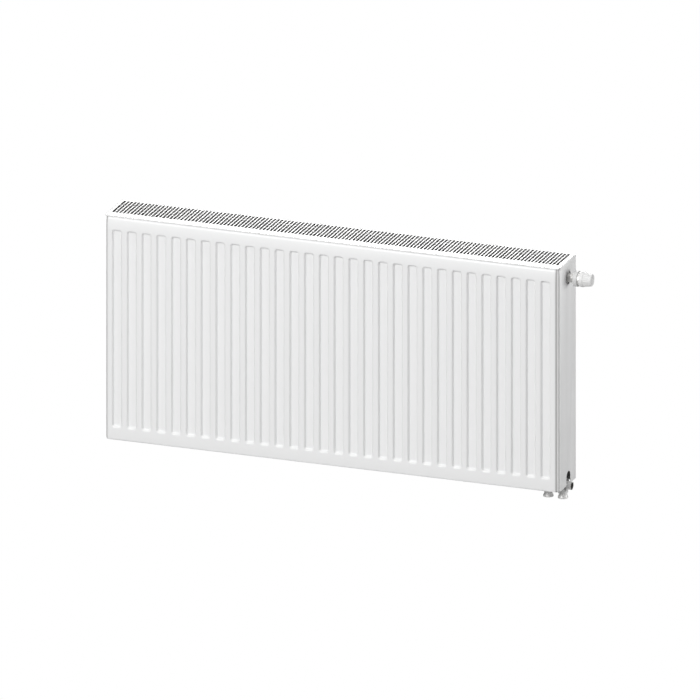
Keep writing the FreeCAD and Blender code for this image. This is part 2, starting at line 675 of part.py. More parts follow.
level_piece("valve_spindle", [
    ("carrier_start", "0"), ("carrier_start", "carrier_outer"), (CARRIER_END, "carrier_outer"),
    (CARRIER_END, "spindle_outer"), ("shoulder_start", "spindle_outer"),
    ("shoulder_start", "shoulder_outer"), (SHOULDER_END, "shoulder_outer"),
    (SHOULDER_END, "spindle_outer"), ("spindle_end", "spindle_outer"), ("spindle_end", "0")])
level_piece("valve_disc", [
    ("carrier_start - disc_width", "0"), ("carrier_start - disc_width", "disc_outer"),
    ("carrier_start", "disc_outer"), ("carrier_start", "0")])
PUSHER = "spindle_end + pusher_gap"
level_piece("valve_cap", [
    ("cap_start", "head_outer + thread_gap"), ("cap_start", "cap_base"),
    ("cap_base_end", "cap_base"), ("cap_base_end + cap_bevel", "cap_step"),
    ("cap_end - cap_edge", "cap_tip"), ("cap_end", "cap_tip - cap_edge"), ("cap_end", "0"),
    (PUSHER, "0"), (PUSHER, "pusher"), ("cap_end - cap_wall", "pusher"),
    ("cap_end - cap_wall", "cap_room_tip"), (PUSHER, "cap_room"), ("cap_room_start", "cap_room"),
    ("cap_room_start", "head_outer + thread_gap")])


def insert_seal():
    ring = document.addObject("Part::Torus", "valve_insert_seal")
    ring.Placement = FreeCAD.Placement(ORIGIN, FreeCAD.Rotation(Y_AXIS, 90))
    tie(ring, Radius1="insert_outer - ring_wire", Radius2="ring_wire")
    place(ring, "groove_start + groove_width / 2", PORT_Y, "port_height")
    return piece(ring, "valve_insert_seal")


def valve_spring():
    """The return spring around the spindle: a round wire swept along a helix."""
    body = new_body("valve_spring")
    wire = new_sketch(body)
    circle(wire, "0", "coil_radius", "coil_wire")
    coil = body.newObject("PartDesign::AdditiveHelix", "AdditiveHelix")
    coil.Profile = wire
    coil.ReferenceAxis = (wire, ["H_Axis"])
    coil.Mode = "height-turns-growth"
    tie(coil, Height="coil_length", Turns="coil_turns")
    place(body, "coil_start", PORT_Y, "port_height")
    return body


insert_seal()
valve_spring()


# ---------------------------------------------------------------- plugs

def hexagon(body, face, depth, corner, reverse=False):
    """A hexagon socket cut into a turned piece from the upright plane at face."""
    sketch = new_sketch(body, "YZ_Plane", lift=face)
    turns = [math.radians(60 * index) for index in range(6)]
    polygon(sketch, [(f"{corner} * ({math.cos(turn):.7f})", f"{corner} * ({math.sin(turn):.7f})")
                     for turn in turns])
    return pocket(body, sketch, depth, reverse=reverse)


FLANGE_IN = "boss_end + gasket"
FLANGE_OUT = "boss_end + gasket + flange_width"
blind = level_piece("blind_plug", [
    ("plug_start", "0"), ("plug_start", "boss_thread"), (FLANGE_IN, "boss_thread"),
    (FLANGE_IN, "flange_outer"), (f"{FLANGE_OUT} - flange_edge", "flange_outer"),
    (FLANGE_OUT, "flange_outer - flange_edge"), (FLANGE_OUT, "0")], "-port_height", -1)
hexagon(blind, FLANGE_OUT, "hex_depth", "socket_hex")
drain = level_piece("drain_plug", [
    ("drain_plug_end - drain_plug_length", "0"), ("drain_plug_end - drain_plug_length", "drain_bore"),
    ("drain_plug_end", "drain_bore"), ("drain_plug_end", "0")], "-tee_height")
hexagon(drain, "drain_plug_end", "hex_depth", "socket_hex")
vent = level_piece("vent_plug", [
    ("plug_start", "vent_duct"), ("plug_start", "boss_thread"), (FLANGE_IN, "boss_thread"),
    (FLANGE_IN, "flange_outer"), (f"{FLANGE_OUT} - flange_edge", "flange_outer"),
    (FLANGE_OUT, "flange_outer - flange_edge"), (FLANGE_OUT, "spigot_outer"),
    ("spigot_end", "spigot_outer"), ("spigot_end", "vent_radius + running_gap"),
    ("vent_bore_start", "vent_radius + running_gap"), ("vent_bore_start", "vent_duct")],
    "port_height", -1)
for name, height in (("vent_plug_gasket", "port_height"), ("blind_plug_gasket", "-port_height")):
    level_piece(name, [("boss_end", "boss_thread"), ("boss_end", "flange_outer"),
                       (FLANGE_IN, "flange_outer"), (FLANGE_IN, "boss_thread")], height, -1)


def vent_screw():
    """The bleed screw: a round shank in the vent plug, with a square head for the key."""
    body = level_piece("vent_screw", [
        ("vent_bore_start + vent_seat_gap", "0"),
        ("vent_bore_start + vent_seat_gap + vent_cone", "vent_radius"),
        ("vent_head_start", "vent_radius"), ("vent_head_start", "0")], "port_height", -1)
    head = new_sketch(body, "YZ_Plane", lift="vent_head_start")
    rectangle(head, "-vent_head_half", "vent_head_half", "-vent_head_half", "vent_head_half")
    pad(body, head, "vent_head_end - vent_head_start")
    return body


def vent_nozzle():
    """The swivelling outlet ring on the vent plug, its spout hanging down."""
    length = "nozzle_end - nozzle_start"
    start = "-nozzle_end"
    middle = "-(nozzle_start + nozzle_end) / 2"
    ring = cylinder("nozzle_ring", "nozzle_outer", length, "X", start, PORT_Y, "port_height")
    spout = cylinder("spout", "spout_outer", "spout_reach", "Z", middle, PORT_Y,
                     "port_height - spout_reach")
    bore = cylinder("nozzle_bore", "spigot_outer + running_gap", length, "X", start, PORT_Y,
                    "port_height")
    way = cylinder("spout_bore", "spout_bore", "spout_reach", "Z", middle, PORT_Y,
                   "port_height - spout_reach")
    return carve("vent_nozzle", join("nozzle_blank", ring, spout), bore, way)


vent_screw()
vent_nozzle()


# ---------------------------------------------------------------- hanging lugs

def hanging_lug(label, across, height):
    """A bent strip: its foot is welded to the rear panel, its tongue drops over a wall hook."""
    body = new_body(label)
    section = new_sketch(body, "YZ_Plane", lift="-lug_width / 2")
    polygon(section, [
        ("-lug_reach", "lug_top"), ("-lug_reach", "lug_bend_top"),
        ("-lug_sheet", "lug_bend_foot"), ("-lug_sheet", "-lug_foot"), ("0", "-lug_foot"),
        ("0", "lug_bend_foot + bend_allowance"),
        ("lug_sheet - lug_reach", "lug_bend_top + bend_allowance"),
        ("lug_sheet - lug_reach", "lug_top")])
    pad(body, section, "lug_width")
    place(body, across, 0, height)
    return body


for row_name, height in (("upper", "lug_height"), ("lower", "-lug_height")):
    for column_name, across in (("left", "-lug_place"), ("right", "lug_place")):
        hanging_lug(f"{row_name}_{column_name}_lug", across, height)


# ---------------------------------------------------------------- hand over

document.recompute()
for thing in document.Objects:
    if {"Invalid", "Error"} & set(thing.State):
        raise RuntimeError(f"{thing.Label} ({thing.Name}) failed: {thing.State}")
os.makedirs("parts", exist_ok=True)
for thing in pieces:
    shape = thing.Shape
    if shape.isNull() or not shape.isValid() or not shape.Solids:
        raise RuntimeError(f"{thing.Label} has no sound solid")
    shape.exportStep(f"parts/{thing.Label}.step")
    box = shape.BoundBox
    print(f"{thing.Label}: {len(shape.Solids)} solid(s), {shape.Volume:.0f} mm3, "
          f"X {box.XMin:.2f}..{box.XMax:.2f} Y {box.YMin:.2f}..{box.YMax:.2f} "
          f"Z {box.ZMin:.2f}..{box.ZMax:.2f}")
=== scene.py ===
"""The looks of a double-panel radiator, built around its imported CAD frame.

Metres, +X right, +Y to the wall, +Z up. Each piece takes its place from the box of a CAD node.
"""
import json
import math

import bmesh
import bpy
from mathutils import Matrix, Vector


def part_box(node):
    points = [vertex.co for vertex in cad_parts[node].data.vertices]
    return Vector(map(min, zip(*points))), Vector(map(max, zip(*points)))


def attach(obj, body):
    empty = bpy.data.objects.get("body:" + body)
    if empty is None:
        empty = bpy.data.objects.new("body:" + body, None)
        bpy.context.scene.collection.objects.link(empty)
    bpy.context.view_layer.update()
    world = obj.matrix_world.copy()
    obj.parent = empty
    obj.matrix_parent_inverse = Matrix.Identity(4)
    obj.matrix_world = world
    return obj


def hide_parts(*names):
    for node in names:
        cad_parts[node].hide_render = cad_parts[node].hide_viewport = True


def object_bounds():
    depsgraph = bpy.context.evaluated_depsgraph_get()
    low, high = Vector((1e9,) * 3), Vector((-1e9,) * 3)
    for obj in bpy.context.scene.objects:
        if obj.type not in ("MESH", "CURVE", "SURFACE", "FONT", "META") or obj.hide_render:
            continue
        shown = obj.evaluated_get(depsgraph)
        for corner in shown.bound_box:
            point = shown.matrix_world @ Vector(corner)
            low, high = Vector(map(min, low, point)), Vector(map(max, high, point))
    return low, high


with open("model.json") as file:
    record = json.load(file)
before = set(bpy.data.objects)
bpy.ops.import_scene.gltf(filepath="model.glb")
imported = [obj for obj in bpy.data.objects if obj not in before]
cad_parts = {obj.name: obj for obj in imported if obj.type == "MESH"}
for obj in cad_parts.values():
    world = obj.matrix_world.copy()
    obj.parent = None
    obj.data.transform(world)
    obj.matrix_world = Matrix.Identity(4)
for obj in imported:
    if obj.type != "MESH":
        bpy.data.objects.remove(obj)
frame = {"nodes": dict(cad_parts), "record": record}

CAD_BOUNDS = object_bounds()
MM = 0.001
WELD = 1e-6


# ---------------------------------------------------------------- helpers

def corners(node):
    """The lowest and highest corners of a CAD node as vectors."""
    low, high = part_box(node)
    return Vector(low), Vector(high)


def new_piece(name, bm, slot, body, nodes, sharp_degrees=None, finish=None):
    """Turn a bmesh into a piece: its finish, the body it rides on and the nodes it stands for."""
    bmesh.ops.recalc_face_normals(bm, faces=bm.faces)
    mesh = bpy.data.meshes.new(name)
    bm.to_mesh(mesh)
    bm.free()
    for polygon in mesh.polygons:
        polygon.use_smooth = True
    if sharp_degrees is not None:
        mesh.set_sharp_from_angle(angle=math.radians(sharp_degrees))
    mesh.materials.append(MATERIALS[finish or slot])
    piece = bpy.data.objects.new(name, mesh)
    bpy.context.scene.collection.objects.link(piece)
    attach(piece, body)
    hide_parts(*nodes)
    return piece


def steps(start, end, count):
    """count + 1 evenly spaced values from start to end."""
    return [start + (end - start) * index / count for index in range(count + 1)]


def merged(values, closest):
    """Sorted values with near repeats left out."""
    kept = []
    for value in sorted(values):
        if not kept or value - kept[-1] > closest:
            kept.append(value)
    return kept


def profile_from(start, pairs):
    """A turned profile in metres, from pairs in millimetres: distance from start and radius."""
    return [(start + along * MM, radius * MM) for along, radius in pairs]


def join_rings(bm, first, second):
    """A band of faces between two closed rings with as many vertices."""
    for index in range(len(first)):
        after = (index + 1) % len(first)
        bm.faces.new((first[index], first[after], second[after], second[index]))


# ---------------------------------------------------------------- materials

NOISE_MIDDLE = (0.3, 0.7)


class Nodes:
    """A material's node tree, with short calls for what the finishes share."""

    def __init__(self, name):
        self.material = bpy.data.materials.new(name)
        self.material.use_nodes = True
        self.tree = self.material.node_tree
        self.shader = self.tree.nodes["Principled BSDF"]
        self.place = self.add("ShaderNodeTexCoord").outputs["Object"]

    def add(self, kind, **settings):
        node = self.tree.nodes.new(kind)
        for name, value in settings.items():
            setattr(node, name, value)
        return node

    def link(self, source, target):
        self.tree.links.new(source, target)

    def noise(self, scale, detail=2.0, stretch=(1, 1, 1)):
        """Noise in object space; scale is in waves per metre."""
        mapping = self.add("ShaderNodeMapping")
        mapping.inputs["Scale"].default_value = stretch
        self.link(self.place, mapping.inputs["Vector"])
        texture = self.add("ShaderNodeTexNoise")
        texture.inputs["Scale"].default_value = scale
        texture.inputs["Detail"].default_value = detail
        self.link(mapping.outputs["Vector"], texture.inputs["Vector"])
        return texture.outputs["Fac"]

    def climb(self, source, start, end, low=0.0, high=1.0):
        """low where source is start or before it, and high where it is end or beyond."""
        node = self.add("ShaderNodeMapRange")
        node.inputs["From Min"].default_value = start
        node.inputs["From Max"].default_value = end
        node.inputs["To Min"].default_value = low
        node.inputs["To Max"].default_value = high
        self.link(source, node.inputs["Value"])
        return node.outputs["Result"]

    def spread(self, source, low, high):
        """Map the useful middle of a noise to low..high."""
        return self.climb(source, *NOISE_MIDDLE, low, high)

    def edges(self, start, end):
        """0 on flats, rising to 1 on outward edges, from the mesh's own curvature."""
        return self.climb(self.add("ShaderNodeNewGeometry").outputs["Pointiness"], start, end)

    def bump(self, height, strength, distance, under=None):
        node = self.add("ShaderNodeBump")
        node.inputs["Strength"].default_value = strength
        node.inputs["Distance"].default_value = distance
        self.link(height, node.inputs["Height"])
        if under is not None:
            self.link(under, node.inputs["Normal"])
        return node.outputs["Normal"]

    def blend(self, factor, first, second):
        """A mix of two plain colours."""
        node = self.add("ShaderNodeMix", data_type="RGBA")
        node.inputs["A"].default_value = (*first, 1)
        node.inputs["B"].default_value = (*second, 1)
        self.link(factor, node.inputs["Factor"])
        return node.outputs["Result"]

    def covered(self, factor, under, over):
        """under, with the plain colour over laid on it by factor."""
        node = self.add("ShaderNodeMix", data_type="RGBA")
        self.link(factor, node.inputs["Factor"])
        self.link(under, node.inputs["A"])
        node.inputs["B"].default_value = (*over, 1)
        return node.outputs["Result"]

    def axis(self, letter):
        """One of the object's own coordinates."""
        split = self.add("ShaderNodeSeparateXYZ")
        self.link(self.place, split.inputs["Vector"])
        return split.outputs[letter]

    def off_middle(self):
        """The distance from the middle of the object's length."""
        size = self.add("ShaderNodeMath", operation="ABSOLUTE")
        self.link(self.axis("X"), size.inputs[0])
        return size.outputs["Value"]

    def product(self, first, second):
        node = self.add("ShaderNodeMath", operation="MULTIPLY")
        self.link(first, node.inputs[0])
        self.link(second, node.inputs[1])
        return node.outputs["Value"]


# Noises: waves per metre, and the height of the bumps they give.
PEEL_WAVES, GRIT_WAVES, GLOSS_WAVES, CLOUD_WAVES = 620, 3100, 9, 5
LATHE_WAVES, TARNISH_WAVES, FLOW_WAVES = 900, 70, 45
PEEL_HEIGHT, GRIT_HEIGHT, LATHE_HEIGHT, GRAIN_HEIGHT = 0.06 * MM, 0.02 * MM, 0.02 * MM, 0.03 * MM
GRIT_STRENGTH, LATHE_STRENGTH, GRAIN_STRENGTH = 0.10, 0.22, 0.15
CLOUD_SHADE = 0.985
EDGE_START, EDGE_FULL = 0.53, 0.62
COAT_ROUGHNESS = 0.22

PALE = (0.845, 0.847, 0.848)
PALE_WORN = (0.76, 0.76, 0.755)
# Painted shade: a grey line along a panel's ends, where a shadow line falls.
PAINTED_SHADE_LINE = (0.46, 0.46, 0.458)
# Painted shade: near black for the radiator's inside, where it lies in shade, with a lighter tone
# on its worn edges.
PAINTED_SHADE_DARK = (0.095, 0.095, 0.094)
PAINTED_SHADE_DARK_WORN = (0.15, 0.15, 0.148)


def powder_coat(name, colour, worn, roughness, peel, coat, end_shade=None, shade=None):
    """Stoved powder paint: orange peel, patchy gloss and a film thinned at the edges.

    end_shade is four distances from the middle, where a band of painted shade along a panel's ends
    starts, is full, fades and ends; shade is the heights over which the colour turns to near-black
    painted shade towards a top edge hidden under the grille.
    """
    nodes = Nodes(name)
    shader = nodes.shader
    peel_waves = nodes.noise(PEEL_WAVES, detail=1.5)
    grit = nodes.bump(nodes.noise(GRIT_WAVES, detail=1.0), GRIT_STRENGTH, GRIT_HEIGHT)
    nodes.link(nodes.bump(peel_waves, peel, PEEL_HEIGHT, grit), shader.inputs["Normal"])
    gloss = nodes.noise(GLOSS_WAVES, detail=4)
    nodes.link(nodes.spread(gloss, roughness - 0.04, roughness + 0.05), shader.inputs["Roughness"])
    wear = nodes.edges(EDGE_START, EDGE_FULL)
    cloud = nodes.blend(nodes.noise(CLOUD_WAVES, detail=3), colour,
                        [CLOUD_SHADE * part for part in colour])
    film = nodes.covered(wear, cloud, worn)
    # Painted shade: a grey band along the panel's ends stands in for a shadow line.
    if end_shade:
        start, full, fading, end = end_shade
        place = nodes.off_middle()
        band = nodes.product(nodes.climb(place, start, full), nodes.climb(place, end, fading))
        film = nodes.covered(band, film, PAINTED_SHADE_LINE)
    # Painted shade: the rear panel's top edge under the grille turns near black.
    if shade:
        film = nodes.covered(nodes.climb(nodes.axis("Z"), *shade), film, PAINTED_SHADE_DARK)
    nodes.link(film, shader.inputs["Base Color"])
    shader.inputs["Coat Weight"].default_value = coat
    shader.inputs["Coat Roughness"].default_value = COAT_ROUGHNESS
    return nodes.material


def turned_metal(name, colour, dull, roughness, stretch, metallic=1.0):
    """Plated or bare metal with lathe marks drawn out along stretch and a patchy tarnish."""
    nodes = Nodes(name)
    shader = nodes.shader
    shader.inputs["Metallic"].default_value = metallic
    marks = nodes.noise(LATHE_WAVES, detail=3, stretch=stretch)
    nodes.link(nodes.bump(marks, LATHE_STRENGTH, LATHE_HEIGHT), shader.inputs["Normal"])
    patch = nodes.noise(TARNISH_WAVES, detail=4)
    nodes.link(nodes.spread(patch, roughness - 0.07, roughness + 0.10), shader.inputs["Roughness"])
    nodes.link(nodes.blend(patch, colour, dull), shader.inputs["Base Color"])
    return nodes.material


def moulded(name, colour, shade, roughness, grain, sheen_coat):
    """Moulded plastic or rubber: spark-eroded grain, flow clouds and uneven gloss."""
    nodes = Nodes(name)
    shader = nodes.shader
    texture = nodes.bump(nodes.noise(grain, detail=3), GRAIN_STRENGTH, GRAIN_HEIGHT)
    nodes.link(texture, shader.inputs["Normal"])
    flow = nodes.noise(FLOW_WAVES, detail=3)
    nodes.link(nodes.spread(flow, roughness - 0.04, roughness + 0.06), shader.inputs["Roughness"])
    nodes.link(nodes.blend(flow, colour, shade), shader.inputs["Base Color"])
    shader.inputs["Coat Weight"].default_value = sheen_coat
    return nodes.material


# Where painted shade goes: a grey band at a panel's ends, and the rear panel's top edge under the
# grille.
PANEL_ENDS = (504.8 * MM, 505.8 * MM, 508.1 * MM, 508.4 * MM)
PAINTED_SHADE_TOP = (234.5 * MM, 236.5 * MM)
ALONG_X, ALONG_Z = (9, 1, 1), (1, 1, 9)
MATERIALS = {
    # panel_paint carries painted shade: a grey band along the panel's ends.
    "panel_paint": powder_coat("panel_paint", PALE, PALE_WORN, 0.42, 0.16, 0.12, end_shade=PANEL_ENDS),
    # rear_panel_paint carries painted shade: the grey end band and a near-black top edge under the
    # grille.
    "rear_panel_paint": powder_coat("rear_panel_paint", PALE, PALE_WORN, 0.42, 0.16, 0.12,
                                    end_shade=PANEL_ENDS, shade=PAINTED_SHADE_TOP),
    # Painted shade: the inner sheets and the fins are near black, standing in for the shade inside
    # the radiator.
    "painted_shade_inner": powder_coat("painted_shade_inner", PAINTED_SHADE_DARK, PAINTED_SHADE_DARK_WORN, 0.60, 0.12, 0.0),
    "cover_paint": powder_coat("cover_paint", PALE, PALE_WORN, 0.44, 0.16, 0.10),
    "fin_paint": powder_coat("fin_paint", PAINTED_SHADE_DARK, PAINTED_SHADE_DARK_WORN, 0.60, 0.10, 0.0),
    "hub_paint": powder_coat("hub_paint", (0.78, 0.78, 0.775), (0.66, 0.66, 0.65),
                             0.50, 0.22, 0.05),
    "plated_steel": turned_metal("plated_steel", (0.86, 0.857, 0.85), (0.78, 0.775, 0.765),
                                 0.46, ALONG_Z, metallic=0.3),
    "valve_body": turned_metal("valve_body", (0.74, 0.735, 0.72), (0.66, 0.655, 0.64),
                               0.50, ALONG_X),
    "spindle_steel": turned_metal("spindle_steel", (0.70, 0.70, 0.71), (0.60, 0.60, 0.61),
                                  0.20, ALONG_X),
    "spring_steel": turned_metal("spring_steel", (0.58, 0.58, 0.59), (0.46, 0.46, 0.47),
                                 0.34, (4, 1, 1)),
    "brass": turned_metal("brass", (0.72, 0.56, 0.30), (0.58, 0.44, 0.22), 0.30, ALONG_X),
    "collar_plastic": moulded("collar_plastic", (0.60, 0.60, 0.60), (0.57, 0.57, 0.565),
                              0.45, 2400, 0.05),
    "cap_plastic": moulded("cap_plastic", (0.74, 0.74, 0.74), (0.72, 0.72, 0.715),
                           0.45, 2400, 0.05),
    "seal_rubber": moulded("seal_rubber", (0.035, 0.035, 0.036), (0.055, 0.055, 0.055),
                           0.70, 1500, 0.0),
}


# ---------------------------------------------------------------- fluted sheets

FLUTES = 30
FLUTE_PITCH = 33.3333 * MM
FLUTE_HALF = 11.25 * MM
FLUTE_DEPTH = 5.2 * MM
FLUTE_RUN = 3.5 * MM
FLUTE_CORNER = 6.5 * MM
FLUTE_SOFTNESS = 0.26
FLUTE_FOOT_GAP = 28.5 * MM
FLUTE_TOP_GAP = 29.5 * MM
SHEET = 1.25 * MM
TOP_ROUNDING = 6.0 * MM
EDGE_ROUNDING = 4.0 * MM
SIDE_ROUNDING = 6.5 * MM
HEADER_REACH = 29 * MM
HEADER_TILT = math.radians(14)
FOOT_REACH = 24 * MM
FOOT_TILT = math.radians(5)
PLATE_SETBACK = 7.0 * MM
CLOSEST_LINES = 0.05 * MM

# How many spans the sheet's grid has across each of its features.
ROUNDING_SPANS, WALL_SPANS, FLUTE_END_SPANS, FLUTE_SPANS = 7, 9, 16, 4
FOOT_SPANS, HEADER_SPANS = 7, 9

GRILLE_LOW, GRILLE_HIGH = corners("top_grille")


def ramp_area(value):
    """The integral of a ramp that climbs from 0 to 1."""
    if value <= 0:
        return 0.0
    return value * value / 2 if value < 1 else value - 0.5


def flute_sink(across, up, foot, head):
    """How far the sheet is pressed in at a point, from its distance inside the nearest flute."""
    index = round(across / FLUTE_PITCH - 0.5)
    index = min(max(index, -FLUTES // 2), FLUTES // 2 - 1)
    beside = abs(across - (index + 0.5) * FLUTE_PITCH) - (FLUTE_HALF - FLUTE_CORNER)
    above = abs(up - (head + foot) / 2) - ((head - foot) / 2 - FLUTE_CORNER)
    outside = math.hypot(max(beside, 0), max(above, 0)) + min(max(beside, above), 0) - FLUTE_CORNER
    climb = -outside / FLUTE_RUN
    area = ramp_area(climb + FLUTE_SOFTNESS) - ramp_area(climb - FLUTE_SOFTNESS)
    return FLUTE_DEPTH * area / (2 * FLUTE_SOFTNESS)


def crown_sink(distance, reach, tilt):
    """A sheet that leans back more and more as it nears an edge."""
    return tilt * max(0.0, reach - distance) ** 2 / (2 * reach)


def edge_sink(side, over, under):
    """How far the rounded edges fall back at a point, from its distances to them."""
    side = max(0.0, 1 - side / SIDE_ROUNDING)
    over = max(0.0, 1 - over / TOP_ROUNDING)
    under = max(0.0, 1 - under / EDGE_ROUNDING)
    share = side ** 2 + over ** 2 + under ** 2
    if share == 0:
        return 0.0
    rounding = (side ** 2 * SIDE_ROUNDING + over ** 2 * TOP_ROUNDING
                + under ** 2 * EDGE_ROUNDING) / share
    return rounding * (1 - math.sqrt(1 - min(1.0, share)))


def sheet_columns(low, high, arc):
    """Where the grid's upright lines run: close together on edges and flute walls."""
    columns = [low.x + SIDE_ROUNDING * part for part in arc]
    columns += [high.x - SIDE_ROUNDING * part for part in arc]
    margin = FLUTE_SOFTNESS * FLUTE_RUN
    wall = [FLUTE_HALF + margin - part for part in steps(0, FLUTE_RUN + 2 * margin, WALL_SPANS)]
    for index in range(FLUTES):
        middle = (index - (FLUTES - 1) / 2) * FLUTE_PITCH
        columns += [middle + side * part for side in (-1, 1) for part in wall]
        columns += [middle, middle + FLUTE_PITCH / 2]
    return merged([part for part in columns if low.x <= part <= high.x], CLOSEST_LINES)


def sheet_rows(low, high, arc, foot, head):
    """Where the grid's level lines run: close together on edges, crowns and flute ends."""
    rows = [low.z + EDGE_ROUNDING * part for part in arc]
    rows += [high.z - TOP_ROUNDING * part for part in arc]
    rows += steps(low.z + EDGE_ROUNDING, low.z + FOOT_REACH, FOOT_SPANS)
    rows += steps(high.z - HEADER_REACH, high.z - TOP_ROUNDING, HEADER_SPANS)
    margin = FLUTE_SOFTNESS * FLUTE_RUN
    flute_end = FLUTE_CORNER + FLUTE_RUN + margin
    rows += steps(foot - margin, foot + flute_end, FLUTE_END_SPANS)
    rows += steps(head + margin, head - flute_end, FLUTE_END_SPANS)
    rows += steps(foot + flute_end, head - flute_end, FLUTE_SPANS)
    return merged([part for part in rows if low.z <= part <= high.z], CLOSEST_LINES)


def pulled_in(value, middle, half, inset):
    """A coordinate moved inwards by inset if it lies on the rim."""
    offset = value - middle
    return value - math.copysign(inset, offset) * (abs(offset) > half - WELD)


def fluted_sheet(name, node, facing, finish):
    """A pressed panel front: flutes, crowned header and foot, rounded rim, walls and a rim fold."""
    low, high = corners(node)
    face = low.y if facing < 0 else high.y
    back = high.y if facing < 0 else low.y
    foot, head = low.z + FLUTE_FOOT_GAP, GRILLE_HIGH.z - FLUTE_TOP_GAP
    arc = [1 - math.sin(angle) for angle in steps(math.pi / 2, 0, ROUNDING_SPANS)]
    columns = sheet_columns(low, high, arc)

    bm = bmesh.new()
    grid = []
    for up in sheet_rows(low, high, arc, foot, head):
        line = []
        for across in columns:
            sink = flute_sink(across, up, foot, head)
            sink += crown_sink(high.z - up, HEADER_REACH, HEADER_TILT)
            sink += crown_sink(up - low.z, FOOT_REACH, FOOT_TILT)
            sink += edge_sink(min(across - low.x, high.x - across), high.z - up, up - low.z)
            line.append(bm.verts.new((across, face - facing * sink, up)))
        grid.append(line)
    for lower, upper in zip(grid, grid[1:]):
        for index in range(len(columns) - 1):
            bm.faces.new((lower[index], lower[index + 1], upper[index + 1], upper[index]))

    rim = grid[0] + [line[-1] for line in grid[1:]]
    rim += grid[-1][-2::-1] + [line[0] for line in grid[-2:0:-1]]
    centre, half = (low + high) / 2, (high - low) / 2
    previous = rim
    for inset, depth in ((0.0, back), (SHEET, back), (SHEET, face - facing * PLATE_SETBACK)):
        ring = [bm.verts.new((pulled_in(vertex.co.x, centre.x, half.x, inset), depth,
                              pulled_in(vertex.co.z, centre.z, half.z, inset)))
                for vertex in rim]
        join_rings(bm, previous, ring)
        previous = ring
    new_piece(name, bm, "panel_paint", "radiator", [node], sharp_degrees=50, finish=finish)


fluted_sheet("front_fluted_skin", "front_panel_outer_sheet", -1, "panel_paint")
fluted_sheet("rear_fluted_skin", "rear_panel_outer_sheet", 1, "rear_panel_paint")


# ---------------------------------------------------------------- top grille

SLOTS = 125
SLOT_PITCH = 8.074 * MM
SLOT_SHIFT = -1.9 * MM
SLOT_HALF = 2.45 * MM
SLOT_CORNER = 1.6 * MM
SLOT_FRONT = -90.4 * MM
SLOT_REAR = -12.0 * MM
SLOT_LIP = 0.22 * MM
CORNER_SPANS = 4
CELL_FRONT, CELL_REAR = SLOT_FRONT - SLOT_HALF, SLOT_REAR + SLOT_HALF
CELL_CORNER = (0.35, 0.7)
GRILLE_SHEET = 0.7 * MM
RING_HALF = 508.8 * MM
RING_FRONT = -102.0 * MM
STIFFENER_REAR = -37.4 * MM
FRONT_LIP = 1.6 * MM


def slot_outline(middle, grow):
    """Points round a slot's rim, corner by corner, with the slot widened by grow all round."""
    corner = SLOT_CORNER + grow
    side = SLOT_HALF + grow - corner
    near, far = SLOT_FRONT - grow + corner, SLOT_REAR + grow - corner
    points = []
    for across, along, start in ((side, near, -90), (side, far, 0),
                                 (-side, far, 90), (-side, near, 180)):
        for turn in steps(math.radians(start), math.radians(start + 90), CORNER_SPANS):
            points.append((middle + across + corner * math.cos(turn),
                           along + corner * math.sin(turn)))
    return points


def cell_outline(middle):
    """The rim of a slot's cell of the plate: as many points as slot_outline, in the same order."""
    half = SLOT_PITCH / 2
    front, rear = SLOT_FRONT + SLOT_CORNER, SLOT_REAR - SLOT_CORNER
    points = []
    for side, along, inside in ((1, CELL_FRONT, front), (1, CELL_REAR, rear),
                                (-1, CELL_REAR, rear), (-1, CELL_FRONT, front)):
        walk = [(middle + side * half * part, along) for part in CELL_CORNER]
        walk += [(middle + side * half, place) for place in (along, (along + inside) / 2, inside)]
        turned = (side > 0) != (along == CELL_FRONT)
        points += walk[::-1] if turned else walk
    return points


def folded_box(bm, low, high):
    """A closed thin strip for a fold under the plate."""
    verts = [bm.verts.new((x, y, z)) for x in (low[0], high[0]) for y in (low[1], high[1])
             for z in (low[2], high[2])]
    for face in ((0, 1, 3, 2), (4, 6, 7, 5), (0, 4, 5, 1),
                 (2, 3, 7, 6), (0, 2, 6, 4), (1, 5, 7, 3)):
        bm.faces.new([verts[index] for index in face])


def flat(bm, left, right, near, far, height):
    """A level rectangle."""
    bm.faces.new([bm.verts.new(point) for point in (
        (left, near, height), (right, near, height), (right, far, height), (left, far, height))])


def slot_cells(bm, top, under):
    """The plate's slotted field; the places where its front line has vertices are returned."""
    marks = []
    for index in range(SLOTS):
        middle = (index - (SLOTS - 1) / 2) * SLOT_PITCH + SLOT_SHIFT
        cell, slot = cell_outline(middle), slot_outline(middle, 0)
        loops = [(cell, top), (slot_outline(middle, SLOT_LIP), top), (slot, top - SLOT_LIP),
                 (slot, under), (cell, under)]
        rings = [[bm.verts.new((x, y, z)) for x, y in points] for points, z in loops]
        for first, second in zip(rings, rings[1:]):
            join_rings(bm, first, second)
        marks += [x for x, y in cell if y == CELL_FRONT]
    return merged(marks, WELD)


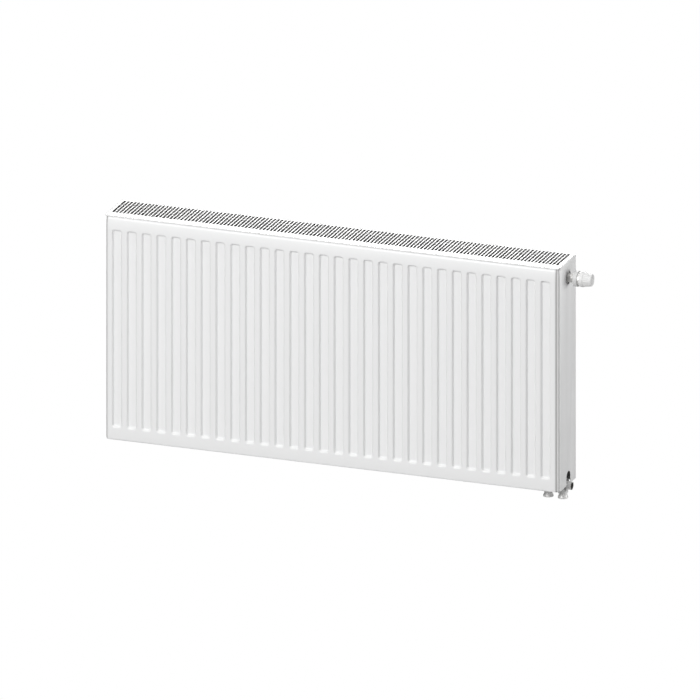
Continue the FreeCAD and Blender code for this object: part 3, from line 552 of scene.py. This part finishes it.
def slotted_plate():
    """The grille: a plate of slot cells with its margins, front lip, ring and stiffener."""
    low, high = GRILLE_LOW, GRILLE_HIGH
    top, under = high.z, high.z - GRILLE_SHEET
    bm = bmesh.new()
    marks = slot_cells(bm, top, under)
    for height in (top, under):
        for line, edge in ((CELL_FRONT, low.y), (CELL_REAR, high.y)):
            for left, right in zip(marks, marks[1:]):
                flat(bm, left, right, edge, line, height)
        for outer, inner in ((low.x, marks[0]), (marks[-1], high.x)):
            for near, far in ((low.y, CELL_FRONT), (CELL_FRONT, CELL_REAR), (CELL_REAR, high.y)):
                flat(bm, outer, inner, near, far, height)
    bmesh.ops.remove_doubles(bm, verts=bm.verts, dist=WELD)
    rim = [(low.x, low.y), (high.x, low.y), (high.x, high.y), (low.x, high.y)]
    for (ax, ay), (bx, by) in zip(rim, rim[1:] + rim[:1]):
        bm.faces.new([bm.verts.new(point) for point in (
            (ax, ay, top), (bx, by, top), (bx, by, under), (ax, ay, under))])
    folded_box(bm, (low.x, low.y, top - FRONT_LIP), (high.x, low.y + GRILLE_SHEET, under))
    for front in (RING_FRONT, high.y - GRILLE_SHEET, STIFFENER_REAR - GRILLE_SHEET):
        folded_box(bm, (-RING_HALF, front, low.z), (RING_HALF, front + GRILLE_SHEET, under))
    for left, right in ((-RING_HALF, GRILLE_SHEET - RING_HALF),
                        (RING_HALF - GRILLE_SHEET, RING_HALF)):
        folded_box(bm, (left, RING_FRONT + GRILLE_SHEET, low.z),
                   (right, high.y - GRILLE_SHEET, under))
    piece = new_piece("grille_plate", bm, "cover_paint", "grille", ["top_grille"], sharp_degrees=30)
    # Painted shade: the inner faces of the ring and stiffener under the plate get the near-black
    # finish.
    piece.data.materials.append(MATERIALS["painted_shade_inner"])
    for polygon in piece.data.polygons:
        centre = polygon.center
        folded = centre.z < under - MM
        within = RING_FRONT + MM / 2 < centre.y < high.y - MM / 2
        if folded and within and abs(centre.x) < RING_HALF - MM / 2:
            polygon.material_index = 1


slotted_plate()


# ---------------------------------------------------------------- turned and softened pieces

FLAT_DEGREES = 0.5
EDGE_DEGREES = 35


def softened(name, node, slot, body, width, finish=None, bore=None):
    """A CAD node's own shape with its sharp edges broken by a small round.

    bore is the axis (y, z), the radius and the start (x) of a hole whose inside gets near-black
    painted shade.
    """
    bm = bmesh.new()
    bm.from_mesh(frame["nodes"][node].data)
    bmesh.ops.remove_doubles(bm, verts=bm.verts, dist=WELD)
    bmesh.ops.dissolve_limit(bm, angle_limit=math.radians(FLAT_DEGREES), verts=bm.verts,
                             edges=bm.edges)
    piece = new_piece(name, bm, slot, body, [node], finish=finish)
    if bore:
        across, up, radius, start = bore
        # Painted shade: the faces inside the bore get the near-black finish.
        piece.data.materials.append(MATERIALS["painted_shade_inner"])
        for polygon in piece.data.polygons:
            centre = polygon.center
            if centre.x > start and math.hypot(centre.y - across, centre.z - up) < radius:
                polygon.material_index = 1
    bevel = piece.modifiers.new("edge_round", "BEVEL")
    bevel.width = width
    bevel.segments = 2
    bevel.limit_method = "ANGLE"
    bevel.angle_limit = math.radians(EDGE_DEGREES)
    bevel.harden_normals = True


def lathe(name, node, profile, slot, body, axis, segments=96, ripple=None):
    """A turned piece on a node's axis; profile pairs are distance along the axis and radius.

    ripple(along, radius, turn) changes a ring's radius as it goes round, for grip ribs.
    """
    low, high = corners(node)
    centre = (low + high) / 2
    bm = bmesh.new()
    rings = []
    for along, radius in profile:
        ring = []
        for index in range(segments):
            turn = 2 * math.pi * index / segments
            reach = ripple(along, radius, turn) if ripple else radius
            across, up = reach * math.cos(turn), reach * math.sin(turn)
            if axis == "X":
                ring.append(bm.verts.new((along, centre.y + across, centre.z + up)))
            else:
                ring.append(bm.verts.new((centre.x + across, centre.y + up, along)))
        rings.append(ring)
    for first, second in zip(rings, rings[1:] + rings[:1]):
        join_rings(bm, first, second)
    bmesh.ops.remove_doubles(bm, verts=bm.verts, dist=WELD)
    new_piece(name, bm, slot, body, [node], sharp_degrees=40)


def rounded(profile, radius, segments=4):
    """A closed profile with each corner replaced by a small arc-like curve."""
    result = []
    count = len(profile)
    for index in range(count):
        here = Vector(profile[index])
        before, after = Vector(profile[index - 1]), Vector(profile[(index + 1) % count])
        reach_in = min(radius, (before - here).length / 2.2)
        reach_out = min(radius, (after - here).length / 2.2)
        start = here + (before - here).normalized() * reach_in
        end = here + (after - here).normalized() * reach_out
        for part in steps(0, 1, segments):
            point = (1 - part) ** 2 * start + 2 * part * (1 - part) * here + part ** 2 * end
            result.append(tuple(point))
    return result


CAP_LOW, CAP_HIGH = corners("valve_cap")
CAP_RIBS = 24
CAP_RIB_DEPTH = 0.45 * MM
CAP_RIB_START, CAP_RIB_END = CAP_LOW.x + 10.5 * MM, CAP_HIGH.x - 2.5 * MM
CAP_RIB_FADE_IN, CAP_RIB_FADE_OUT = 3 * MM, 2 * MM
CAP_RIB_LEAST_RADIUS = 12.9 * MM
CAP_GRIP_START, CAP_GRIP_END = CAP_LOW.x + 10.2 * MM, CAP_HIGH.x - 1.2 * MM
CAP_GRIP_RADIUS, CAP_TIP_RADIUS = 15.6 * MM, 13.0 * MM
CAP_GRIP_SPANS = 14


def cap_grip(along, radius, turn):
    """Shallow grooves along the cap's tapered grip, fading out at both ends."""
    if radius < CAP_RIB_LEAST_RADIUS or not CAP_RIB_START < along < CAP_RIB_END:
        return radius
    fade = min(1.0, (along - CAP_RIB_START) / CAP_RIB_FADE_IN,
               (CAP_RIB_END - along) / CAP_RIB_FADE_OUT)
    return radius - CAP_RIB_DEPTH * fade * (0.5 - 0.5 * math.cos(CAP_RIBS * turn)) ** 2


def valve_cap():
    """The hand cap: a bevelled base ring, a tapered ribbed grip and a shallow dished end."""
    base = profile_from(CAP_LOW.x, [(0, 14.2), (0.9, 14.4), (1.7, 16.1), (2.1, 16.5),
                                    (9.3, 16.5), (9.65, 16.35)])
    grip = list(zip(steps(CAP_GRIP_START, CAP_GRIP_END, CAP_GRIP_SPANS),
                    steps(CAP_GRIP_RADIUS, CAP_TIP_RADIUS, CAP_GRIP_SPANS)))
    tip = profile_from(CAP_HIGH.x, [(-0.5, 12.75), (-0.1, 12.2), (0, 11.5), (0, 9.6), (-0.5, 9.0),
                                    (-0.6, 4.0), (-0.6, 0), (-3.5, 0), (-3.5, 10.5)])
    hollow = profile_from(CAP_LOW.x, [(9, 12.5), (8.6, 14.2)])
    lathe("cap_shell", "valve_cap", base + grip + tip + hollow, "cap_plastic", "cap", "X",
          segments=192, ripple=cap_grip)


STUB_ROUNDING = 0.7 * MM


def stub(name, node, shoulder, top):
    """A pipe socket: a rolled rim, a flared neck and a stepped body, open at the foot.

    shoulder is the profile above the neck and top is the radius at the upper end, in millimetres.
    """
    low, high = corners(node)
    outside = profile_from(low.z, [(0, 7.6), (0, 11.0), (3, 11.0), (7, 9.0)] + shoulder)
    end = profile_from(high.z, [(0, top), (0, 6.0)])
    seat = profile_from(low.z, [(14, 6.0), (14, 7.6)])
    lathe(name, node, rounded(outside + end + seat, STUB_ROUNDING), "plated_steel", "radiator", "Z")


stub("supply_socket", "supply_stub", [(21, 9.0), (23, 12.0), (45, 12.0), (45, 7.5)], 7.5)
stub("return_socket", "return_stub", [], 9.0)
valve_cap()

COVER_EDGE, FITTING_EDGE, SMALL_EDGE = 0.35 * MM, 0.5 * MM, 0.3 * MM
TEE_BORE = 7.2 * MM
PLUG_LOW, PLUG_HIGH = corners("drain_plug")
PLUG_MIDDLE = (PLUG_LOW + PLUG_HIGH) / 2

for cover in ("left_side_cover", "right_side_cover"):
    softened(cover + "_skin", cover, "cover_paint", "radiator", COVER_EDGE)
softened("return_tee_skin", "return_tee", "hub_paint", "radiator", FITTING_EDGE,
         bore=(PLUG_MIDDLE.y, PLUG_MIDDLE.z, TEE_BORE, PLUG_LOW.x))
for fitting in ("bottom_right_hub", "valve_housing", "top_left_hub", "bottom_left_hub"):
    softened(fitting + "_skin", fitting, "hub_paint", "radiator", FITTING_EDGE)
for lug in ("upper_left_lug", "upper_right_lug", "lower_left_lug", "lower_right_lug"):
    softened(lug + "_skin", lug, "panel_paint", "radiator", FITTING_EDGE)
softened("valve_collar_skin", "valve_collar", "cap_plastic", "radiator", SMALL_EDGE,
         finish="collar_plastic")
for small, slot_name, body_name in (("drain_plug", "brass", "radiator"),
                                    ("blind_plug", "plated_steel", "radiator"),
                                    ("vent_plug", "plated_steel", "radiator"),
                                    ("vent_screw", "brass", "bleed_screw"),
                                    ("vent_nozzle", "cap_plastic", "bleed_nozzle")):
    softened(small + "_skin", small, slot_name, body_name, SMALL_EDGE)


# ---------------------------------------------------------------- finishes of the CAD nodes

SLOT_OF = {part["node"]: part["material_slot"] for part in frame["record"]["subparts"]}
# The inner sheets get the near-black painted shade finish.
SLOT_OF["front_panel_inner_sheet"] = SLOT_OF["rear_panel_inner_sheet"] = "painted_shade_inner"
for node_name, carried in frame["nodes"].items():
    carried.data.materials.clear()
    carried.data.materials.append(MATERIALS[SLOT_OF[node_name]])


# ---------------------------------------------------------------- floor, light and camera

FLOOR_DROP = 1.5
FLOOR_REACH = 1.75
FLOOR_SIDES = 96
FLOOR_WAVES = 3
FLOOR_PALE, FLOOR_PALER = (0.74, 0.74, 0.735), (0.76, 0.76, 0.755)
FLOOR_ROUGHNESS = 0.9


def studio_floor():
    """A round pale floor well below the radiator, which hangs on its lugs."""
    low = Vector(CAD_BOUNDS[0])
    bm = bmesh.new()
    bmesh.ops.create_circle(bm, cap_ends=True, radius=FLOOR_REACH, segments=FLOOR_SIDES)
    bmesh.ops.translate(bm, verts=bm.verts, vec=(0, 0, low.z - FLOOR_DROP))
    mesh = bpy.data.meshes.new("floor")
    bm.to_mesh(mesh)
    bm.free()
    floor = bpy.data.objects.new("floor", mesh)
    bpy.context.scene.collection.objects.link(floor)
    nodes = Nodes("floor_paint")
    nodes.link(nodes.blend(nodes.noise(FLOOR_WAVES), FLOOR_PALE, FLOOR_PALER),
               nodes.shader.inputs["Base Color"])
    nodes.shader.inputs["Roughness"].default_value = FLOOR_ROUGHNESS
    mesh.materials.append(nodes.material)


WORLD_BRIGHT, WORLD_DIM = 0.44, 0.02
DIM_SIDE = (-0.8, 0.6, 0)
DIM_START, DIM_END = -0.6, 0.7
BACKDROP = 1.0


def studio_world():
    """A pale surround, dimmer behind the radiator's left end, seen as plain white."""
    world = bpy.data.worlds.new("studio")
    bpy.context.scene.world = world
    world.use_nodes = True
    tree = world.node_tree
    nodes, links = tree.nodes, tree.links
    shown = nodes["Background"]
    shown.inputs["Color"].default_value = (1, 1, 1, 1)
    shown.inputs["Strength"].default_value = BACKDROP
    place = nodes.new("ShaderNodeTexCoord")
    towards = nodes.new("ShaderNodeVectorMath")
    towards.operation = "DOT_PRODUCT"
    towards.inputs[1].default_value = DIM_SIDE
    fade = nodes.new("ShaderNodeMapRange")
    fade.inputs["From Min"].default_value = DIM_START
    fade.inputs["From Max"].default_value = DIM_END
    fade.inputs["To Min"].default_value = WORLD_BRIGHT
    fade.inputs["To Max"].default_value = WORLD_DIM
    light = nodes.new("ShaderNodeBackground")
    path = nodes.new("ShaderNodeLightPath")
    mix = nodes.new("ShaderNodeMixShader")
    links.new(place.outputs["Generated"], towards.inputs[0])
    links.new(towards.outputs["Value"], fade.inputs["Value"])
    links.new(fade.outputs["Result"], light.inputs["Strength"])
    links.new(path.outputs["Is Camera Ray"], mix.inputs["Fac"])
    links.new(light.outputs["Background"], mix.inputs[1])
    links.new(shown.outputs["Background"], mix.inputs[2])
    links.new(mix.outputs["Shader"], nodes["World Output"].inputs["Surface"])


# Each light: its place, what it is turned towards, its size and its power in watts.
LIGHTS = {
    "key": ((-1.7, -7.7, 3.7), (0, 0, 0), 2.4, 536),
    "top": ((0.2, -0.1, 3.2), (0, 0, 0), 2.2, 37),
    "back": ((-1.6, 6.4, 2.2), (0, 0, 0), 3.0, 240),
    "side": ((3.2, 0.9, 0.1), (0.5, 0, 0), 1.4, 40),
}


def softbox(name, place, aim, size, power):
    """A square area light at place, turned towards aim."""
    light = bpy.data.lights.new(name, "AREA")
    light.shape = "SQUARE"
    light.size = size
    light.energy = power
    lamp = bpy.data.objects.new(name, light)
    lamp.location = place
    lamp.rotation_euler = (Vector(aim) - Vector(place)).to_track_quat("-Z", "Y").to_euler()
    bpy.context.scene.collection.objects.link(lamp)


VIEW_AZIMUTH = math.radians(20.4)
VIEW_ELEVATION = math.radians(18.8)
VIEW_WIDTH = 1.480
VIEW_TARGET = Vector((0.0226, -0.063, -0.0048))
VIEW_DISTANCE = 5.0


def studio_camera():
    """A parallel-projection camera above and to the right of the radiator's front."""
    camera = bpy.data.cameras.new("camera")
    camera.type = "ORTHO"
    camera.ortho_scale = VIEW_WIDTH
    holder = bpy.data.objects.new("camera", camera)
    direction = Vector((math.sin(VIEW_AZIMUTH) * math.cos(VIEW_ELEVATION),
                        -math.cos(VIEW_AZIMUTH) * math.cos(VIEW_ELEVATION),
                        math.sin(VIEW_ELEVATION)))
    holder.location = VIEW_TARGET + VIEW_DISTANCE * direction
    holder.rotation_euler = direction.to_track_quat("Z", "Y").to_euler()
    bpy.context.scene.collection.objects.link(holder)
    bpy.context.scene.camera = holder


studio_floor()
studio_world()
for light_name, setting in LIGHTS.items():
    softbox(light_name, *setting)
studio_camera()
bpy.context.scene.view_settings.view_transform = "Standard"
